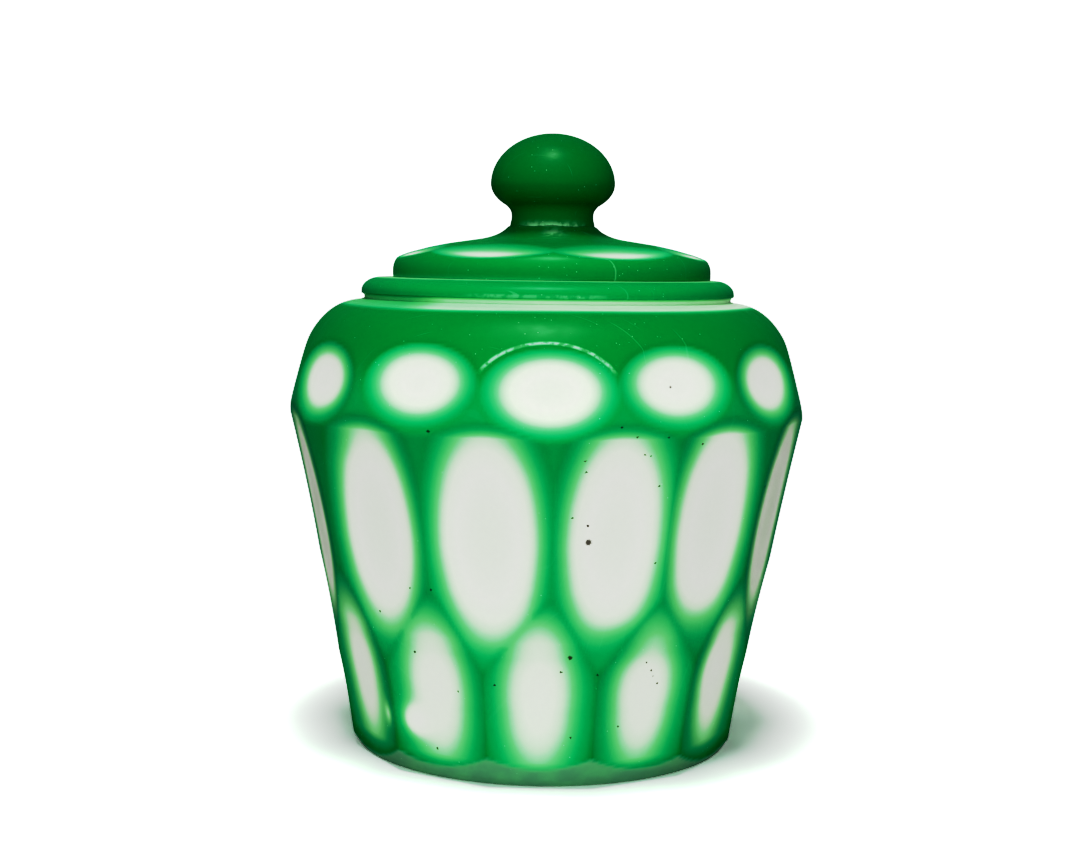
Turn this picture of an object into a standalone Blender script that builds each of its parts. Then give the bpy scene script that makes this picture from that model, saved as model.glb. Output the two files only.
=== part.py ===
"""Overlay glass lidded jar: a hollow turned jar and a turned lid, with flat wheel cuts ground into both.

The jar stands on z = 0 with its axis on the z axis, and its front faces -Y. Sizes are in metres.
"""

import math

import bmesh
import bpy
from mathutils import Matrix, Vector

# The uncut jar: a straight cone from the foot to the widest ring, then a rounded shoulder.
FOOT_RADIUS = 0.0453
WIDEST_RADIUS = 0.0603
WIDEST_HEIGHT = 0.0776
SHOULDER_RISE = 0.0265
SHOULDER_FULLNESS_LOW = 0.34
SHOULDER_FULLNESS_HIGH = 0.74
SHOULDER_LEAN_IN = 0.03
SHOULDER_DROOP = 0.03

# The groove under the collar, and the collar that the lid sits on.
GROOVE_HEIGHT = 0.0016
GROOVE_DEPTH = 0.0007
GROOVE_SLANT = 0.22
COLLAR_RADIUS = 0.0437
COLLAR_HEIGHT = 0.0037
COLLAR_ROUND_WIDTH = 0.0046
COLLAR_WALL_SHARE = 0.15

# The inside of the jar.
WALL = 0.0055
FLOOR_THICKNESS = 0.0080
FLOOR_ROUND = 0.0060
MOUTH_RADIUS = 0.0345
THROAT_DEPTH = 0.0080
INSIDE_SHOULDER_PULL = 0.40

# The cuts round the jar, in three rows that stand between one another.
CUTS_IN_ROW = 12
SHOULDER_CUT_HEIGHT = 0.0881
SHOULDER_CUT_DEPTH = 0.00165
SHOULDER_WHEEL_RADIUS = 0.0700
FRONT_CUT_EXTRA_DEPTH = 0.00015
SIDE_CUT_HEIGHT = 0.0546
SIDE_CUT_DEPTH = 0.00195
SIDE_WHEEL_RADIUS = 0.3000
FOOT_CUT_HEIGHT = 0.0176
FOOT_CUT_DEPTH = 0.00205
FOOT_WHEEL_RADIUS = 0.1900
WHEEL_HALF_FACE = 0.0200

# How far single cuts slip round the jar from their even places, in degrees, because they are cut by eye.
SHOULDER_CUT_SLIPS = {0: 0.6, 1: -2.0, 2: -3.2, 3: -2.0, 4: -1.0, 9: 1.0, 10: 2.1, 11: 2.4}
SIDE_CUT_SLIPS = {0: 0.6, 1: -4.8, 2: -5.0, 3: -3.5, 4: -2.0, 5: -0.5, 9: 0.5, 10: 3.7, 11: 2.5}
FOOT_CUT_SLIPS = {0: -1.0, 1: -2.5, 2: -4.4, 3: -3.0, 4: -1.5, 9: 0.5, 10: 1.4, 11: 1.1}

# How far single cuts on the shoulder and down the side sit below the rest.
SHOULDER_CUT_DROPS = {0: 0.0007, 1: -0.0006, 10: 0.0009, 11: -0.0004}
SIDE_CUT_DROPS = {0: -0.0010, 1: -0.0028, 2: -0.0015, 10: -0.0014, 11: -0.0006}

# The bevel round the foot, ground deeper at the front and the back than at the sides.
BEVEL_SIDE_RADIUS = 0.0443
BEVEL_FRONT_RADIUS = 0.0419
BEVEL_SLOPE = 0.65

# The lid, from its rim up to the knob.
SEAT_GAP = 0.0003
LID_SIDE_PLAY = 0.0009
RIM_RADIUS = 0.0373
RIM_STRAIGHT = 0.0015
RIM_ROUND_WIDTH = 0.0060
RIM_ROUND_HEIGHT = 0.0051
RIM_ROUND_DEGREES = 75.0
DOME_SLOPE = 0.15
NECK_RADIUS = 0.00957
NECK_HEIGHT = 0.0140
NECK_FILLET = 0.0012
FLARE_WIDTH = 0.0075
FLARE_DROP = 0.0024
FLARE_SPREAD = 0.35
KNOB_RADIUS = 0.01455
KNOB_MIDDLE_HEIGHT = 0.0217
KNOB_TOP_HALF = 0.01175
KNOB_LOWER_HALF = 0.0075
KNOB_UNDERCUT_DEGREES = 42.0

# The cuts on top of the lid, and the hollow under it.
LID_CUTS = 7
LID_CUT_SLOPE = 0.29
LID_CUT_EDGE_HEIGHT = 0.0039
LID_CUT_REACH = 1.15
LOCATING_GAP = 0.0014
LOCATING_DEPTH = 0.0050
LOCATING_WALL = 0.0030
LID_THICKNESS = 0.0040

# How finely the round shapes are divided.
OUTER_STEPS = 84
INNER_STEPS = 43
LID_STEPS = 50
WHEEL_CHORD = 0.0055
SHARP_DEGREES = 20.0

SHOULDER_TOP = WIDEST_HEIGHT + SHOULDER_RISE
GROOVE_TOP = SHOULDER_TOP + GROOVE_HEIGHT
SEAT_HEIGHT = GROOVE_TOP + COLLAR_HEIGHT
LID_BASE = SEAT_HEIGHT + SEAT_GAP
MILLIMETRE = 0.001


def clear_scene():
    """Take away whatever the scene starts with."""
    for thing in list(bpy.data.objects):
        bpy.data.objects.remove(thing, do_unlink=True)


def new_collection(name, parent):
    """Make a collection inside the parent collection."""
    collection = bpy.data.collections.new(name)
    parent.children.link(collection)
    return collection


def glass_material(name, colour, roughness):
    """Make a plain polished material of one colour."""
    material = bpy.data.materials.new(name)
    material.use_nodes = True
    shader = material.node_tree.nodes["Principled BSDF"]
    shader.inputs["Base Color"].default_value = colour
    shader.inputs["Roughness"].default_value = roughness
    shader.inputs["IOR"].default_value = 1.5
    return material


def mesh_object(name, mesh, collection):
    """Put a mesh into a collection as an object."""
    thing = bpy.data.objects.new(name, mesh)
    collection.objects.link(thing)
    return thing


def mark_cutter(thing):
    """Keep a cutter out of renders and draw it as wire."""
    thing.hide_render = True
    thing.display_type = "WIRE"


def turned(name, profile, steps, collection):
    """Turn a profile of (radius, height) points, given from the top down its outer side, into a solid."""
    mesh = bpy.data.meshes.new(name)
    points = [(radius, 0.0, height) for radius, height in profile]
    edges = [(i, i + 1) for i in range(len(points) - 1)]
    mesh.from_pydata(points, edges, [])
    thing = mesh_object(name, mesh, collection)
    screw = thing.modifiers.new("Turn", "SCREW")
    screw.axis = "Z"
    screw.angle = 2.0 * math.pi
    screw.steps = steps
    screw.render_steps = steps
    screw.use_merge_vertices = True
    screw.merge_threshold = 0.00001
    return thing


def cut_away(thing, collection, name):
    """Cut every solid of a collection out of a solid."""
    cut = thing.modifiers.new(name, "BOOLEAN")
    cut.operation = "DIFFERENCE"
    cut.solver = "EXACT"
    cut.operand_type = "COLLECTION"
    cut.collection = collection


def curve_points(start, first_pull, second_pull, end, count):
    """Give points along a cubic curve, its start left out."""
    points = []
    for i in range(1, count + 1):
        t = i / count
        weights = ((1 - t) ** 3, 3 * t * (1 - t) ** 2, 3 * t * t * (1 - t), t**3)
        corners = (start, first_pull, second_pull, end)
        radius = sum(w * corner[0] for w, corner in zip(weights, corners))
        height = sum(w * corner[1] for w, corner in zip(weights, corners))
        points.append((radius, height))
    return points


def arc_points(centre, half_width, half_height, start, end, count):
    """Give points along part of an ellipse between two angles in degrees, its start left out."""
    points = []
    for i in range(1, count + 1):
        angle = math.radians(start + (end - start) * i / count)
        radius = centre[0] + half_width * math.cos(angle)
        height = centre[1] + half_height * math.sin(angle)
        points.append((radius, height))
    return points


def shoulder_points():
    """Give the shoulder from the widest ring up to the groove, as (radius, height)."""
    start = (WIDEST_RADIUS, WIDEST_HEIGHT)
    end = (COLLAR_RADIUS + GROOVE_DEPTH, SHOULDER_TOP)
    reach = WIDEST_RADIUS - end[0]
    first_pull = (
        WIDEST_RADIUS - SHOULDER_LEAN_IN * reach,
        WIDEST_HEIGHT + SHOULDER_FULLNESS_LOW * SHOULDER_RISE,
    )
    second_pull = (
        end[0] + SHOULDER_FULLNESS_HIGH * reach,
        SHOULDER_TOP - SHOULDER_DROOP * SHOULDER_RISE,
    )
    return [start] + curve_points(start, first_pull, second_pull, end, 10)


def blank_radius(height):
    """Give the radius of the uncut jar at a height under the groove."""
    if height <= WIDEST_HEIGHT:
        return FOOT_RADIUS + (WIDEST_RADIUS - FOOT_RADIUS) * height / WIDEST_HEIGHT
    points = shoulder_points()
    for low, high in zip(points, points[1:]):
        if low[1] <= height <= high[1]:
            share = (height - low[1]) / (high[1] - low[1])
            return low[0] + (high[0] - low[0]) * share
    return points[-1][0]


def blank_tilt(height):
    """Give the angle by which the uncut jar leans outward at a height, going up."""
    step = MILLIMETRE
    return math.atan2(blank_radius(height + step) - blank_radius(height - step), 2.0 * step)


def collar_points():
    """Give the groove and the collar, from the groove's foot up to the seat."""
    groove_floor = COLLAR_RADIUS - GROOVE_DEPTH
    slant = GROOVE_SLANT * GROOVE_HEIGHT
    wall_top = GROOVE_TOP + COLLAR_WALL_SHARE * COLLAR_HEIGHT
    centre = (COLLAR_RADIUS - COLLAR_ROUND_WIDTH, wall_top)
    round_height = SEAT_HEIGHT - wall_top
    points = [
        (groove_floor, SHOULDER_TOP + slant),
        (groove_floor, GROOVE_TOP - slant),
        (COLLAR_RADIUS, GROOVE_TOP),
        (COLLAR_RADIUS, wall_top),
    ]
    return points + arc_points(centre, COLLAR_ROUND_WIDTH, round_height, 0.0, 90.0, 6)


def jar_blank(collection):
    """Turn the uncut jar as a solid."""
    outline = [(FOOT_RADIUS, 0.0)] + shoulder_points() + collar_points()
    profile = [(0.0, SEAT_HEIGHT)] + outline[::-1] + [(0.0, 0.0)]
    return turned("jar", profile, OUTER_STEPS, collection)


def inside_solid(collection):
    """Turn the space inside the jar, open at the mouth."""
    above = SEAT_HEIGHT + 2.0 * MILLIMETRE
    throat = SEAT_HEIGHT - THROAT_DEPTH
    widest = (WIDEST_RADIUS - WALL, WIDEST_HEIGHT)
    low_height = FLOOR_THICKNESS + FLOOR_ROUND
    low = (blank_radius(low_height) - WALL, low_height)
    middle = 0.5 * (throat + WIDEST_HEIGHT)
    pull = MOUTH_RADIUS + INSIDE_SHOULDER_PULL * (widest[0] - MOUTH_RADIUS)
    shoulder = curve_points(
        (MOUTH_RADIUS, throat),
        (pull, throat),
        (widest[0], middle),
        widest,
        8,
    )
    centre = (low[0] - FLOOR_ROUND, low_height)
    corner = arc_points(centre, FLOOR_ROUND, FLOOR_ROUND, 0.0, -90.0, 5)
    profile = [(0.0, above), (MOUTH_RADIUS, above), (MOUTH_RADIUS, throat)]
    profile += shoulder + [low] + corner + [(0.0, FLOOR_THICKNESS)]
    inside = turned("inside", profile, INNER_STEPS, collection)
    mark_cutter(inside)


def wheel(name, azimuth, height, depth, radius, tilt, collection):
    """Stand a grinding wheel against the jar, its flat face along the jar's girth, sunk to a depth."""
    count = max(24, round(2.0 * math.pi * radius / WHEEL_CHORD / 4) * 4)
    body = bmesh.new()
    bmesh.ops.create_cone(
        body,
        cap_ends=True,
        segments=count,
        radius1=radius,
        radius2=radius,
        depth=2.0 * WHEEL_HALF_FACE,
        matrix=Matrix.Rotation(math.radians(180.0 / count), 4, "Z"),
    )
    mesh = bpy.data.meshes.new(name)
    body.to_mesh(mesh)
    body.free()
    thing = mesh_object(name, mesh, collection)
    outward = Vector((0.0, -math.cos(tilt), -math.sin(tilt)))
    touch = Vector((0.0, -blank_radius(height), height))
    centre = touch + outward * (radius - depth)
    lay_flat = Matrix.Rotation(math.pi / 2, 4, "Y")
    turn = Matrix.Rotation(azimuth, 4, "Z")
    mesh.transform(turn @ Matrix.Translation(centre) @ lay_flat)
    mark_cutter(thing)


def row_azimuth(index, offset, slips):
    """Give the angle round the jar of one cut in a row."""
    degrees = 360.0 * (index + offset) / CUTS_IN_ROW + slips.get(index, 0.0)
    return math.radians(degrees)


def shoulder_cuts(collection):
    """Stand the wheels of the oval cuts on the shoulder, the front one deeper."""
    for index in range(CUTS_IN_ROW):
        height = SHOULDER_CUT_HEIGHT - SHOULDER_CUT_DROPS.get(index, 0.0)
        depth = SHOULDER_CUT_DEPTH + (FRONT_CUT_EXTRA_DEPTH if index == 0 else 0.0)
        azimuth = row_azimuth(index, 0.0, SHOULDER_CUT_SLIPS)
        tilt = blank_tilt(height)
        wheel(f"shoulder_wheel_{index}", azimuth, height, depth, SHOULDER_WHEEL_RADIUS, tilt, collection)


def side_cuts(collection):
    """Stand the wheels of the tall oval cuts down the side, between the shoulder cuts."""
    tilt = blank_tilt(SIDE_CUT_HEIGHT)
    for index in range(CUTS_IN_ROW):
        height = SIDE_CUT_HEIGHT - SIDE_CUT_DROPS.get(index, 0.0)
        azimuth = row_azimuth(index, 0.5, SIDE_CUT_SLIPS)
        wheel(f"side_wheel_{index}", azimuth, height, SIDE_CUT_DEPTH, SIDE_WHEEL_RADIUS, tilt, collection)


def foot_cuts(collection):
    """Stand the wheels of the pointed cuts above the foot, between the side cuts."""
    tilt = blank_tilt(FOOT_CUT_HEIGHT)
    for index in range(CUTS_IN_ROW):
        azimuth = row_azimuth(index, 0.0, FOOT_CUT_SLIPS)
        wheel(f"foot_wheel_{index}", azimuth, FOOT_CUT_HEIGHT, FOOT_CUT_DEPTH, FOOT_WHEEL_RADIUS, tilt, collection)


def bevel_foot(jar, collection):
    """Keep only what lies within a wide cone, which bevels the edge of the foot."""
    tall = 1.2 * SEAT_HEIGHT
    body = bmesh.new()
    bmesh.ops.create_cone(
        body,
        cap_ends=True,
        segments=OUTER_STEPS,
        radius1=BEVEL_SIDE_RADIUS,
        radius2=BEVEL_SIDE_RADIUS + BEVEL_SLOPE * tall,
        depth=tall,
        matrix=Matrix.Translation((0.0, 0.0, 0.5 * tall)),
    )
    flattened = Vector((1.0, BEVEL_FRONT_RADIUS / BEVEL_SIDE_RADIUS, 1.0))
    bmesh.ops.scale(body, vec=flattened, verts=body.verts)
    mesh = bpy.data.meshes.new("bevel_cone")
    body.to_mesh(mesh)
    body.free()
    cone = mesh_object("bevel_cone", mesh, collection)
    mark_cutter(cone)
    keep = jar.modifiers.new("Bevel foot", "BOOLEAN")
    keep.operation = "INTERSECT"
    keep.solver = "EXACT"
    keep.object = cone


def make_jar(parts, cutters):
    """Make the jar: turn it, grind the three rows of cuts, bevel the foot and hollow it."""
    jar = jar_blank(parts)
    rows = (("Shoulder cuts", shoulder_cuts), ("Side cuts", side_cuts), ("Foot cuts", foot_cuts))
    for name, stand_wheels in rows:
        wheels = new_collection(name, cutters)
        stand_wheels(wheels)
        cut_away(jar, wheels, name)
    bevel_foot(jar, cutters)
    hollow = new_collection("Inside of the jar", cutters)
    inside_solid(hollow)
    cut_away(jar, hollow, "Hollow")
    jar.data.materials.append(glass_material("overlay_glass", (0.0, 0.30, 0.08, 1.0), 0.12))
    return jar


def rim_points():
    """Give the rounded rim of the lid from its foot up to the edge of the dome."""
    centre = (RIM_RADIUS - RIM_ROUND_WIDTH, RIM_STRAIGHT)
    rounding = arc_points(centre, RIM_ROUND_WIDTH, RIM_ROUND_HEIGHT, 0.0, RIM_ROUND_DEGREES, 5)
    return [(RIM_RADIUS, 0.0), (RIM_RADIUS, RIM_STRAIGHT)] + rounding


def dome_height(radius):
    """Give the height of the uncut dome of the lid above the rim's underside."""
    edge_radius, edge_height = rim_points()[-1]
    return edge_height + DOME_SLOPE * (edge_radius - radius)


def lid_outline():
    """Give the outside of the lid from the knob's top down to the rim, heights above the rim's underside."""
    knob_centre = (0.0, KNOB_MIDDLE_HEIGHT)
    upper = arc_points(knob_centre, KNOB_RADIUS, KNOB_TOP_HALF, 90.0, 0.0, 8)
    lower = arc_points(knob_centre, KNOB_RADIUS, KNOB_LOWER_HALF, 0.0, -KNOB_UNDERCUT_DEGREES, 4)
    under_knob = lower[-1]
    neck = (NECK_RADIUS, NECK_HEIGHT)
    fillet = curve_points(
        under_knob,
        (NECK_RADIUS + 0.2 * NECK_FILLET, under_knob[1] - 0.75 * NECK_FILLET),
        (NECK_RADIUS, NECK_HEIGHT + NECK_FILLET),
        neck,
        4,
    )
    flare_end = (NECK_RADIUS + FLARE_WIDTH, dome_height(NECK_RADIUS + FLARE_WIDTH))
    flare_foot = dome_height(NECK_RADIUS + FLARE_SPREAD * FLARE_WIDTH)
    flare = curve_points(
        neck,
        (NECK_RADIUS, NECK_HEIGHT - FLARE_DROP),
        (NECK_RADIUS + FLARE_SPREAD * FLARE_WIDTH, flare_foot),
        flare_end,
        6,
    )
    top = (0.0, KNOB_MIDDLE_HEIGHT + KNOB_TOP_HALF)
    return [top] + upper[:-1] + [(KNOB_RADIUS, KNOB_MIDDLE_HEIGHT)] + lower + fillet + flare + rim_points()[::-1]


def lid_blank(collection):
    """Turn the uncut lid, with the ring under it that keeps it in the mouth."""
    ring_outer = MOUTH_RADIUS - LOCATING_GAP
    ring_inner = ring_outer - LOCATING_WALL
    ceiling = dome_height(ring_inner) - LID_THICKNESS
    outline = lid_outline() + [(ring_outer, 0.0), (ring_outer, -LOCATING_DEPTH), (ring_inner, -LOCATING_DEPTH)]
    outline += curve_points(
        (ring_inner, -LOCATING_DEPTH),
        (ring_inner, 0.4 * ceiling),
        (0.95 * ring_inner, ceiling),
        (0.5 * ring_inner, ceiling + 0.5 * MILLIMETRE),
        5,
    )
    outline.append((0.0, ceiling + MILLIMETRE))
    profile = [(radius, LID_BASE + height) for radius, height in outline]
    return turned("lid", profile, LID_STEPS, collection)


def lid_cutter(name, azimuth, collection):
    """Lay a block on the dome of the lid, its underside the flat of one cut, its inner end clear of the knob."""
    clear_of_knob = LID_CUT_REACH * KNOB_RADIUS
    length = RIM_RADIUS - clear_of_knob
    body = bmesh.new()
    bmesh.ops.create_cube(body, size=1.0)
    block_size = Vector((2.0 * RIM_RADIUS, 2.0 * length, RIM_RADIUS))
    bmesh.ops.scale(body, vec=block_size, verts=body.verts)
    mesh = bpy.data.meshes.new(name)
    body.to_mesh(mesh)
    body.free()
    block = mesh_object(name, mesh, collection)
    edge = Vector((0.0, -RIM_RADIUS, LID_BASE + LID_CUT_EDGE_HEIGHT))
    lean = Matrix.Rotation(math.atan(LID_CUT_SLOPE), 4, "X")
    lift = Matrix.Translation((0.0, 0.0, 0.5 * block_size.z))
    turn = Matrix.Rotation(azimuth, 4, "Z")
    mesh.transform(turn @ Matrix.Translation(edge) @ lean @ lift)
    mark_cutter(block)


def make_lid(parts, cutters):
    """Make the lid, grind its cuts, and set it down where it rests on the jar."""
    lid = lid_blank(parts)
    blocks = new_collection("Lid cuts", cutters)
    for index in range(LID_CUTS):
        azimuth = 2.0 * math.pi * (index + 0.5) / LID_CUTS
        lid_cutter(f"lid_block_{index}", azimuth, blocks)
    cut_away(lid, blocks, "Lid cuts")
    lid.location.x = LID_SIDE_PLAY
    lid.data.materials.append(glass_material("overlay_glass_lid", (0.0, 0.20, 0.05, 1.0), 0.12))
    return lid


def main():
    """Build the jar and its lid."""
    clear_scene()
    root = bpy.context.scene.collection
    parts = new_collection("Overlay glass jar", root)
    cutters = new_collection("Cutters", root)
    jar = make_jar(parts, cutters)
    lid = make_lid(parts, cutters)
    bpy.context.view_layer.update()
    for thing in (jar, lid):
        thing.select_set(True)
    bpy.context.view_layer.objects.active = jar
    bpy.ops.object.shade_auto_smooth(angle=math.radians(SHARP_DEGREES))


main()
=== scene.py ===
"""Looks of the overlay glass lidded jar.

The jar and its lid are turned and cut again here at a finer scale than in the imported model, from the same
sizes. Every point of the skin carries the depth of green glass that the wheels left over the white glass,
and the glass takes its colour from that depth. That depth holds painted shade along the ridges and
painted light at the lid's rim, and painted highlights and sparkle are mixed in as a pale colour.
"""

import logging
import math
from dataclasses import dataclass, field
from enum import Enum

import bmesh
import bpy
import numpy as np
from mathutils import Matrix, Vector


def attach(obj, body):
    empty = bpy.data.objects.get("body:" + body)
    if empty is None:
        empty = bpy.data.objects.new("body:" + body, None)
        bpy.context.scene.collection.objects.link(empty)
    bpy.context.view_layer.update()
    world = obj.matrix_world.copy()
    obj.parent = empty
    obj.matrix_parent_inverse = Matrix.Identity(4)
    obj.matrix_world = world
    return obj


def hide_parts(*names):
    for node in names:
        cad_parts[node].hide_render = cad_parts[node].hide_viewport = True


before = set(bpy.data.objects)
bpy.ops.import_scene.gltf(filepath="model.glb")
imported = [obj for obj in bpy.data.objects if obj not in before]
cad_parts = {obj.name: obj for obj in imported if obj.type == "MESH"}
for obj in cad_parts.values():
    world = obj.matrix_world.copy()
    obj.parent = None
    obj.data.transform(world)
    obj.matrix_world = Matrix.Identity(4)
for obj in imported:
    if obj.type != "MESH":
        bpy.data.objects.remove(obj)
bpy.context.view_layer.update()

LOG = logging.getLogger("overlay_jar")
MM = 0.001
TINY = 1e-6
WHEEL_REACH = math.radians(60.0)
OUT_OF_REACH = 1.0
DEPTH_NAME = "green_depth"
WEAR_AND_SPARKLE_NAME = "wear_and_sparkle"
GLINT_NAME = "glint"
BEVEL_TINT_NAME = "bevel_tint"

# Points as (radius, height).
Line = list[tuple[float, float]]


class Body(Enum):
    """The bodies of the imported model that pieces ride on."""

    ROOT = "root"


class Slot(Enum):
    """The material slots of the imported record."""

    JAR = "overlay_glass"
    LID = "overlay_glass_lid"


def soft_min(first: np.ndarray, second: np.ndarray, blend: float) -> np.ndarray:
    """Take the smaller of two values, rounding the corner where they differ by less than blend."""
    share = np.clip(0.5 + 0.5 * (second - first) / blend, 0.0, 1.0)
    return second * (1.0 - share) + first * share - blend * share * (1.0 - share)


def smooth_step(values: np.ndarray, low: float, high: float) -> np.ndarray:
    """Rise smoothly from 0 where the values are low to 1 where they are high."""
    share = np.clip((values - low) / (high - low), 0.0, 1.0)
    return share * share * (3.0 - 2.0 * share)


def bell(offset: np.ndarray, width: float) -> np.ndarray:
    """Give 1 where the offset is 0, falling away on both sides over the width."""
    return np.exp(-((offset / width) ** 2))


def facing(azimuth: np.ndarray, middle: float, far: float, near: float) -> np.ndarray:
    """Rise smoothly from 0 where an angle is far from the middle to 1 where it is near."""
    return smooth_step(-np.abs(azimuth - middle), -far, -near)


def turn_between(first: np.ndarray, second: float) -> np.ndarray:
    """Give the angle in radians from second to first, wrapped to half a turn either way."""
    return (first - second + math.pi) % (2.0 * math.pi) - math.pi


def curve_points(corners: tuple, count: int) -> Line:
    """Give points along a cubic curve, its start left out.

    Args:
        corners: Start, two pulls and end, as (radius, height).
        count: How many points.

    Returns:
        The points as (radius, height).
    """
    steps = np.arange(1, count + 1) / count
    weights = ((1 - steps) ** 3, 3 * steps * (1 - steps) ** 2, 3 * steps**2 * (1 - steps), steps**3)
    radius = sum(weight * corner[0] for weight, corner in zip(weights, corners))
    height = sum(weight * corner[1] for weight, corner in zip(weights, corners))
    return list(zip(radius, height))


def arc_points(
    centre: tuple, half_width: float, half_height: float, start: float, end: float, count: int
) -> Line:
    """Give points along part of an ellipse, its start left out.

    Args:
        centre: The ellipse's centre as (radius, height).
        half_width: Half its width.
        half_height: Half its height.
        start: The first angle in degrees.
        end: The last angle in degrees.
        count: How many points.

    Returns:
        The points as (radius, height).
    """
    angles = np.radians(start + (end - start) * np.arange(1, count + 1) / count)
    return list(zip(centre[0] + half_width * np.cos(angles), centre[1] + half_height * np.sin(angles)))


def even_points(points: Line, spacing: float) -> Line:
    """Set points evenly along a line of straight runs, keeping both ends.

    Args:
        points: The line's corners as (radius, height).
        spacing: The distance wanted between points.

    Returns:
        The even points.
    """
    line = np.array(points, float)
    runs = np.concatenate([[0.0], np.cumsum(np.hypot(*np.diff(line, axis=0).T))])
    count = max(2, round(runs[-1] / spacing) + 1)
    places = np.linspace(0.0, runs[-1], count)
    return list(zip(np.interp(places, runs, line[:, 0]), np.interp(places, runs, line[:, 1])))


def spun_mesh(name: str, profile: Line, steps: int) -> bpy.types.Mesh:
    """Spin a profile round the z axis into a closed skin.

    Args:
        name: The mesh's name.
        profile: Points as (radius, height), from one pole to the other.
        steps: How many steps make the full turn.

    Returns:
        The mesh, its faces pointing outwards.
    """
    body = bmesh.new()
    points = [body.verts.new((radius, 0.0, height)) for radius, height in profile]
    edges = [body.edges.new(pair) for pair in zip(points, points[1:])]
    bmesh.ops.spin(
        body,
        geom=points + edges,
        axis=(0.0, 0.0, 1.0),
        cent=(0.0, 0.0, 0.0),
        steps=steps,
        angle=2.0 * math.pi,
        use_merge=True,
    )
    bmesh.ops.remove_doubles(body, verts=body.verts, dist=TINY)
    bmesh.ops.recalc_face_normals(body, faces=body.faces)
    mesh = bpy.data.meshes.new(name)
    body.to_mesh(mesh)
    body.free()
    return mesh


class SkinPoints:
    """The points of a spun skin: their places, and their radius, height and angle before cutting."""

    def __init__(self, mesh: bpy.types.Mesh) -> None:
        """Read the points of a mesh.

        Args:
            mesh: The spun mesh.
        """
        flat = np.empty(len(mesh.vertices) * 3, np.float32)
        mesh.vertices.foreach_get("co", flat)
        self.mesh = mesh
        self.places = flat.reshape(-1, 3).astype(float)
        self.radius = np.hypot(self.places[:, 0], self.places[:, 1])
        self.azimuth = np.arctan2(self.places[:, 0], -self.places[:, 1])
        self.height = self.places[:, 2].copy()

    def store(self, values: dict) -> None:
        """Move the mesh's points to their places and keep numbers on them.

        Args:
            values: One number a point, by the attribute's name.
        """
        self.mesh.vertices.foreach_set("co", self.places.astype(np.float32).ravel())
        self.mesh.update()
        for name, numbers in values.items():
            attribute = self.mesh.attributes.new(name, "FLOAT", "POINT")
            attribute.data.foreach_set("value", numbers.astype(np.float32))


def finished_piece(
    name: str, mesh: bpy.types.Mesh, material: bpy.types.Material, sharp_degrees: float
) -> bpy.types.Object:
    """Make a piece of a mesh, smooth but for its sharp edges.

    Args:
        name: The piece's name.
        mesh: Its mesh.
        material: Its material.
        sharp_degrees: The angle past which an edge stays sharp.

    Returns:
        The piece, linked into the scene.
    """
    mesh.shade_smooth()
    mesh.set_sharp_from_angle(angle=math.radians(sharp_degrees))
    mesh.materials.append(material)
    piece = bpy.data.objects.new(name, mesh)
    bpy.context.scene.collection.objects.link(piece)
    return piece


@dataclass(frozen=True)
class WheelRow:
    """One row of cuts round the jar, ground with the flat rim of a wheel.

    The offset is the share of a step by which the row is turned. Slips turn single cuts, in degrees, and
    drops set them lower. The corner is the rounding of the cut's edge.
    """

    height: float
    depth: float
    wheel_radius: float
    offset: float
    corner: float
    slips: dict = field(default_factory=dict)
    drops: dict = field(default_factory=dict)
    front_extra_depth: float = 0.0

    def azimuth(self, index: int, count: int) -> float:
        """Give the angle of one of the row's cuts, in radians from the front to the right."""
        return math.radians(360.0 * (index + self.offset) / count + self.slips.get(index, 0.0))

    def cut_radius(
        self, index: int, count: int, azimuth: np.ndarray, height: np.ndarray, jar: "JarSizes"
    ) -> np.ndarray:
        """Give the radius at which one cut's surface stands.

        Args:
            index: The cut's number in the row.
            count: How many cuts the row has.
            azimuth: Angles round the jar.
            height: Heights on the jar.
            jar: The sizes of the uncut jar.

        Returns:
            The radii, very large where the wheel doesn't reach.
        """
        centre_height = self.height - self.drops.get(index, 0.0)
        depth = self.depth + (self.front_extra_depth if index == 0 else 0.0)
        tilt = float(jar.blank_tilt(np.array([centre_height]))[0])
        reach = self.wheel_radius - depth
        axis_radius = float(jar.blank_radius(np.array([centre_height]))[0]) + reach * math.cos(tilt)
        axis_height = centre_height - reach * math.sin(tilt)
        turn = turn_between(azimuth, self.azimuth(index, count))
        inside = self.wheel_radius**2 - (height - axis_height) ** 2
        reached = (np.abs(turn) < WHEEL_REACH) & (inside > 0.0)
        flat = axis_radius - np.sqrt(np.where(reached, inside, 0.0))
        return np.where(reached, flat / np.cos(np.where(reached, turn, 0.0)), OUT_OF_REACH)


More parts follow.
